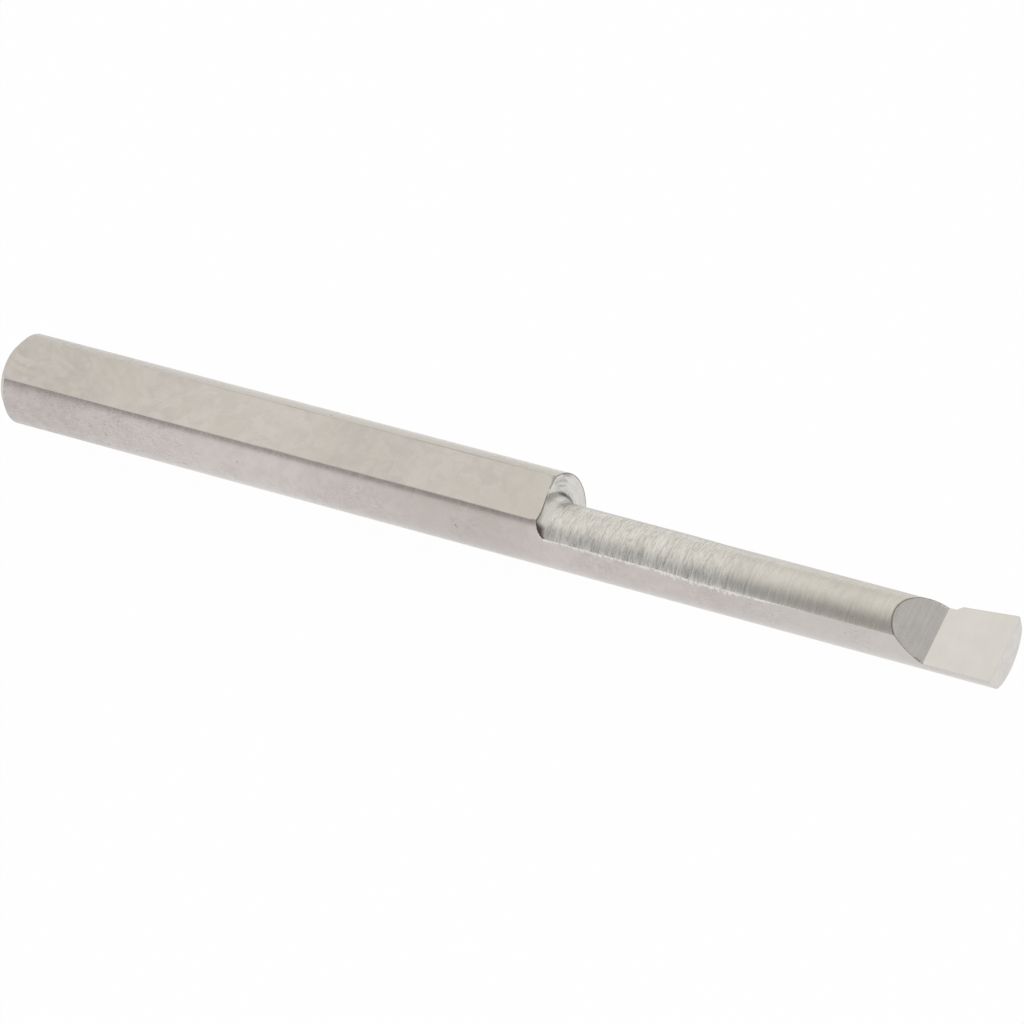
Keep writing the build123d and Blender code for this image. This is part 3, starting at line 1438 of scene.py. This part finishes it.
# The finishes, in the order of the piece's material slots.
FINISHES = (
    GroundFinish(
        "ground_ends", (Ground.CHAMFER, Ground.BACK), pale=(0.58, 0.54, 0.505),
        deep=(0.50, 0.46, 0.43), grain=(1.0, 1.0, 0.2), marks=0.12, cut=0.0012,
        rub_tone=(0.40, 0.36, 0.32), rub=0.5,
    ),
    # Warmer on the far side, with the smeared lip beside the neck laid over it.
    GroundFinish(
        "ground_round", (Ground.SHANK,), pale=(0.610, 0.565, 0.545), deep=(0.545, 0.500, 0.480),
        grain=(1.0, 0.35, 0.35), marks=0.05, gloss=(0.17, 0.28),
        handled=Ease(At.X, 0.4, 8.0, 0.11, 0.0), pits=0.24, rub=0.0,
        layers=(
            over(
                "dull stretches", DULL,
                Most(
                    (Ease(At.X, 15.0, 17.6), Ease(At.X, 19.8, 22.6, 1.0, 0.2)),
                    Ease(At.X, 1.5, 5.5, 0.15, 0.0),
                ),
                0.48,
            ),
            over("greyer head end", (0.600, 0.580, 0.545), Ease(At.X, 27.0, 33.0, 0.0, 0.5)),
            over("whorls", DULL, At.WHORLS),
            over(
                "far side",
                Blend((0.575, 0.535, 0.490), (0.575, 0.538, 0.485), Ease(At.X, 6.0, 9.5)),
                Ease(At.Y, -0.2, 0.9, 0.0, 0.9),
            ),
            over(
                "scuffs", SCUFF, Ease(SCUFFS, 0.47, 0.50), Ease(SCUFFS, 0.50, 0.54, 1.0, 0.0),
                Most(
                    Ease(Pattern(EVEN, 0.45, 1.0), 0.42, 0.62), Ease(At.X, 4.5, 8.5, 1.3, 0.0),
                ),
                0.5,
            ),
            over(
                "gouges", SCUFF, Ease(At.X, 2.5, 4.0), Ease(At.X, 7.5, 9.0, 1.0, 0.0),
                Ease(At.Y, -1.2, -0.9, 1.0, 0.0), Ease(GOUGES, 0.690, 0.720, 0.0, 0.75),
            ),
            over("lip", (0.75, 0.73, 0.70), At.LIP, Ease(FLAKES, 0.38, 0.54, 0.10, 0.95)),
        ),
    ),
    # Stained along its edges in broken stretches, and greener towards the shoulder.
    GroundFinish(
        "ground_flat", (Ground.FLAT,), pale=(0.655, 0.614, 0.572), deep=(0.570, 0.524, 0.485),
        grain=(0.4, 1.0, 1.0), marks=0.04, pits=0.17, rub_tone=(0.33, 0.28, 0.23),
        rub=Most(
            (Ease(At.X, 5.0, 11.0, 0.044, 0.55), Ease(STRETCHES, 0.35, 0.6, 0.3, 1.0)),
            Ease(At.X, 21.30, 21.45, 0.0, 0.8),
        ),
        layers=(
            over(
                "greener patches", (0.60, 0.575, 0.50),
                Most(
                    Ease(Pattern(EVEN, 0.9, 2.0, 0.6, 0.8), 0.42, 0.60, 0.0, 0.50),
                    Ease(At.X, 18.6, 20.6, 0.0, 0.38),
                ),
            ),
            over("whorls", (0.47, 0.43, 0.385), At.WHORLS),
        ),
    ),
    # Coarsely ringed beside the shoulder and finer beyond the root, with painted shade beside the
    # fillet, towards the head and on the far side, and painted glints in its bright specks.
    GroundFinish(
        "ground_neck", (Ground.NECK, Ground.CONE), pale=(0.665, 0.635, 0.575),
        deep=(0.590, 0.560, 0.500), grain=(1.0, 0.045, 0.045), pitch=14.0,
        strength=Ease(At.X, 27.2, 29.8, 1.0, 0.30), marks=0.20, cut=0.0080, gloss=(0.25, 0.38),
        pits=0.20, rub=0.0, outline=0.8,
        layers=(
            over(
                "cool near side", (0.635, 0.620, 0.595), Ease(At.Y, -1.20, -0.70, 1.0, 0.0),
                Ease(At.X, 28.0, 32.0, 0.75, 0.25),
            ),
            over("dimmer root", RING_AND_SHADE, Ease(At.Y, -0.75, -0.20, 0.14, 0.0), At.STRENGTH),
            over("dark rings", RING_AND_SHADE, Ease(STREAKS, 0.38, 0.47, 0.72, 0.0), RINGED),
            over("bare rings", BARE_AND_GLINT, Ease(STREAKS, 0.53, 0.58, 0.0, 0.95), RINGED),
            # Bare specks with painted glints: the wheel marks' brightest lines lighten the tone as
            # highlights.
            over(
                "bare specks and painted glints", BARE_AND_GLINT, Sum(Ease(SPECKLES, 0.42, 0.59, 0.02, 0.62), (At.GLINTS, 0.30)),
                At.STRENGTH,
            ),
            # Painted shade: the near side darker towards the head, deepening the dark reflected
            # band.
            over(
                "dusk towards the head", RING_AND_SHADE, Ease(At.Y, -1.25, -0.98, 0.5, 1.0),
                Ease(At.Y, -0.85, -0.35, 1.0, 0.0), Ease(At.X, 29.5, 33.2, 0.0, 0.20),
            ),
            # Painted shade: the neck's far top is darker beside the fillet.
            over("far root", RING_AND_SHADE, Ease(At.X, 21.9, 22.6, 0.5, 0.0), Ease(At.Y, -0.1, 0.3)),
            over("warmer head end", (0.590, 0.550, 0.470), Ease(At.X, 29.5, 33.5, 0.0, 0.25)),
            # Painted shade: the neck's far side darker.
            over("far side", RING_AND_SHADE, Ease(At.Y, 0.12, 0.38, 0.0, 0.36)),
            over("smears", (0.87, 0.86, 0.84), At.SMEAR, Ease(DRAGS, 0.46, 0.56)),
        ),
    ),
    GroundFinish(
        "ground_ramp", (Ground.RAMP,), pale=(0.655, 0.630, 0.600), deep=(0.600, 0.575, 0.545),
        grain=(1.0, 0.04, 1.0), pitch=10.0, marks=0.07, cut=0.0014, pits=0.15, rub=0.0, outline=0.9,
    ),
    GroundFinish(
        "ground_rake", (Ground.RAKE,), pale=(0.715, 0.685, 0.640), deep=(0.675, 0.645, 0.600),
        grain=(1.0, 0.1, 1.0), clouds=1.3, marks=0.02, cut=0.0002, gloss=(0.20, 0.26), pits=0.1,
        rub_tone=(0.46, 0.44, 0.41), rub_width=0.03, rub=0.35,
    ),
    GroundFinish(
        "ground_relief", (Ground.RELIEF, Ground.NOSE, Ground.FRONT), pale=(0.69, 0.665, 0.635),
        deep=(0.635, 0.61, 0.58), grain=(1.0, 1.0, 0.15), mottle=0.12, marks=0.02, cut=0.0002,
        pits=0.1, rub=0.0,
    ),
    # With arcs left about the neck's axis, darkly scored towards the flat.
    GroundFinish(
        "ground_shoulder", (Ground.SHOULDER,), pale=(0.70, 0.68, 0.65), deep=(0.65, 0.63, 0.60),
        grain=(1.0, 0.13, 0.13), axis=-0.5875, mottle=0.1, pitch=8.5,
        strength=Ease(At.Z, 0.45, 0.85, 0.12, 1.0), marks=0.42, cut=0.0025, gloss=(0.15, 0.28),
        pits=0.1, rub_tone=(0.15, 0.135, 0.115), rub_width=0.06, rub=0.7,
        layers=(
            over("greyer top", SCORE, At.STRENGTH, 0.22),
            over("scores", SCORE, Ease(At.LINES, 0.30, 0.46, 0.5, 0.0), At.STRENGTH),
        ),
    ),
    # Painted dark reflection where it runs out at the near edge, with painted shade as a grey band
    # along its crest and a dark line in its crease.
    GroundFinish(
        "ground_fillet", (Ground.FILLET,), pale=(0.66, 0.64, 0.60), deep=(0.56, 0.54, 0.50),
        grain=(1.0, 0.08, 0.08), pitch=9.0, marks=0.12, cut=0.0030, gloss=(0.14, 0.26), pits=0.1,
        rub_tone=(0.13, 0.115, 0.10), rub_width=0.062, rub=0.8,
        layers=(
            # Painted shade: a grey band along the fillet's crest, standing in for the dark
            # reflection there.
            over(
                "crest", (0.190, 0.190, 0.175), Ease(At.ROOT, 0.02, 0.08),
                Ease(At.ROOT, 0.12, 0.46, 1.0, 0.0),
                Ease(Pattern(EVEN, 21.0, 2.0, 0.7, 0.5), 0.38, 0.60, 0.72, 1.10),
                Ease(At.Y, -0.35, 0.05, 0.0, 0.75),
            ),
            # Painted shade: a near-black line in the crease beside the neck.
            over(
                "painted_crease_shade", (0.035, 0.036, 0.035), Ease(At.ROOT, 0.06, 0.12),
                Ease(At.ROOT, 0.16, 0.36, 1.0, 0.0), Ease(At.Y, 0.46, 0.68, 0.0, 0.95),
            ),
            # Painted dark reflection: a dark spot where the fillet runs out at the near edge, with
            # a softer pinkish fringe round it.
            over("painted_reflection_fringe", (0.34, 0.27, 0.28), Ease(At.EDGE, 0.20, 0.62, 0.6, 0.0), RUN_OUT),
            over("painted_dark_reflection", (0.075, 0.058, 0.055), Ease(At.EDGE, 0.05, 0.36, 0.85, 0.0), RUN_OUT),
        ),
    ),
)



@dataclass
class Bar:
    """The bar as one piece: its skin, and a finish for each ground surface."""

    skin: BarSkin = field(default_factory=BarSkin)
    finishes: tuple[GroundFinish, ...] = FINISHES
    name: str = "ground_bar"
    node: str = "boring_bar"
    slot: str = "ground_carbide"

    def build(self) -> bpy.types.Object:
        """Make the piece, dress it and put it in the node's stead."""
        piece = self.skin.build(self.name)
        effects = Effects.make()
        slots = np.zeros(len(Ground), np.int32)
        for number, finish in enumerate(self.finishes):
            piece.data.materials.append(finish.make(effects))
            slots[list(finish.covers)] = number
        kinds = np.zeros(len(piece.data.polygons), np.int32)
        piece.data.polygons.foreach_get("material_index", kinds)
        piece.data.polygons.foreach_set("material_index", slots[kinds])
        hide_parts(self.node)
        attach(piece, "root")
        report_piece(piece)
        return piece


@dataclass
class Studio:
    """The white table, the soft light round it and the camera.

    The band and the doorway are given by where they begin and are full, in shares
    of a direction of length one.
    """

    table_height: float = -1.5875 * MM
    table_size: float = 3.0
    card_tone: Tone = (0.86, 0.86, 0.86)
    card_glow: float = 0.98
    camera_place: Tone = (0.10872568, -0.07414005, 0.15269514)
    camera_turn: tuple[float, ...] = (0.93138383, 0.24571102, 0.20257520, 0.17639034)
    lens: float = 204.507
    sensor: float = 36.0
    clips: Span = (0.005, 10.0)
    tent_up: Tone = (0.0, 0.562, 0.827)
    tent_mouth: Tone = (0.25, -0.80, 0.545)
    tent_level: float = 1.0
    tent_tone: Tone = (1.0, 0.995, 0.985)
    band_foot: Span = (-0.01, 0.10)
    band_head: Span = (0.45, 0.98)
    band_facing: Span = (-0.2, 0.3)
    band_depth: Span = (0.15, 0.52)
    door_ahead: Span = (0.05, 0.55)
    door_slant: float = 0.5
    door_top: Span = (0.08, 0.34)
    door_level: float = 0.15

    def build_table(self) -> bpy.types.Object:
        """Make the table top, a level square under the bar.

        Its corners are a grid of two by two, one half size out each way.
        """
        half = np.array([-0.5, 0.5]) * self.table_size
        x, y = np.meshgrid(half, half, indexing="ij")
        corners = np.stack([x, y, np.full_like(x, self.table_height)], -1).reshape(-1, 3)
        mesh = bpy.data.meshes.new("table_top")
        mesh.from_pydata(corners.tolist(), [], [(0, 2, 3, 1)])
        mesh.materials.append(self.table_finish())
        table = bpy.data.objects.new("table_top", mesh)
        bpy.context.scene.collection.objects.link(table)
        return table

    def table_finish(self) -> bpy.types.Material:
        """Return white card: it keeps a soft shadow and shows white to the eye and in the metal."""
        material = bpy.data.materials.new("white_card")
        nodes, surface = start_tree(material, "ShaderNodeOutputMaterial")
        path = nodes.add("ShaderNodeLightPath").outputs
        seen = nodes.most(path["Is Camera Ray"], path["Is Glossy Ray"])
        seen = nodes.times(nodes.most(seen, path["Is Transmission Ray"]), self.card_glow)
        card = nodes.add("ShaderNodeBsdfDiffuse", Color=self.card_tone).outputs[0]
        glow = nodes.add("ShaderNodeEmission", Color=EVEN, Strength=1.0).outputs[0]
        white = nodes.add("ShaderNodeMixShader", in_0=seen, in_1=card, in_2=glow)
        nodes.feed(surface, white.outputs[0])
        return material

    def light_world(self) -> None:
        """Light the bar from a soft tent, with a dimmer band where its cloth ends.

        The tent is white above and below, and grey in a band told by how high each
        direction stands over the tent's own floor, dimmer on the camera's side. Its
        doorway is darker still, low down past the tip of the bar.
        """
        world = bpy.data.worlds.new("soft_tent")
        bpy.context.scene.world = world
        nodes, surface = start_tree(world, "ShaderNodeOutputWorld")
        way = nodes.add("ShaderNodeTexCoord").outputs["Generated"]
        height, facing = (
            nodes.add("ShaderNodeVectorMath", operation="DOT_PRODUCT", in_0=way, in_1=axis)
            for axis in (self.tent_up, self.tent_mouth)
        )
        height, facing = height.outputs["Value"], facing.outputs["Value"]
        band = nodes.ramp(height, *self.band_foot)
        band = nodes.times(band, nodes.ramp(height, *self.band_head, 1.0, 0.0))
        depth = nodes.ramp(facing, *self.band_facing, *self.band_depth)
        level = nodes.less(self.tent_level, nodes.times(band, depth))
        x, y, z = nodes.split(way)
        rise = nodes.plus(z, nodes.times(y, self.door_slant))
        door = nodes.ramp(x, *self.door_ahead)
        door = nodes.times(door, nodes.ramp(rise, *self.door_top, 1.0, 0.0))
        level = nodes.times(level, nodes.less(1.0, nodes.times(door, 1.0 - self.door_level)))
        light = nodes.add("ShaderNodeBackground", Color=self.tent_tone, Strength=level)
        nodes.feed(surface, light.outputs[0])

    def build_camera(self) -> bpy.types.Object:
        """Make the camera and use it for the scene."""
        data = bpy.data.cameras.new("camera")
        data.lens = self.lens
        data.sensor_width = self.sensor
        data.clip_start, data.clip_end = self.clips
        camera = bpy.data.objects.new("camera", data)
        turn = Quaternion(self.camera_turn).to_matrix().to_4x4()
        camera.matrix_world = Matrix.Translation(self.camera_place) @ turn
        bpy.context.scene.collection.objects.link(camera)
        bpy.context.scene.camera = camera
        return camera

    def build(self) -> None:
        """Set up the camera, the table and the light."""
        self.build_camera()
        self.build_table()
        self.light_world()
        bpy.context.scene.view_settings.view_transform = "Standard"


def report_piece(piece: bpy.types.Object) -> None:
    """Log the box of a piece in millimetres."""
    points = np.zeros(len(piece.data.vertices) * 3, np.float32)
    piece.data.vertices.foreach_get("co", points)
    points = points.reshape(-1, 3) / MM
    log.info("%s spans %s to %s mm", piece.name, points.min(0).round(3), points.max(0).round(3))


def main() -> None:
    """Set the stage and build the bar."""
    logging.basicConfig(level=logging.INFO)
    Studio().build()
    Bar().build()


if __name__ == "__main__":
    main()
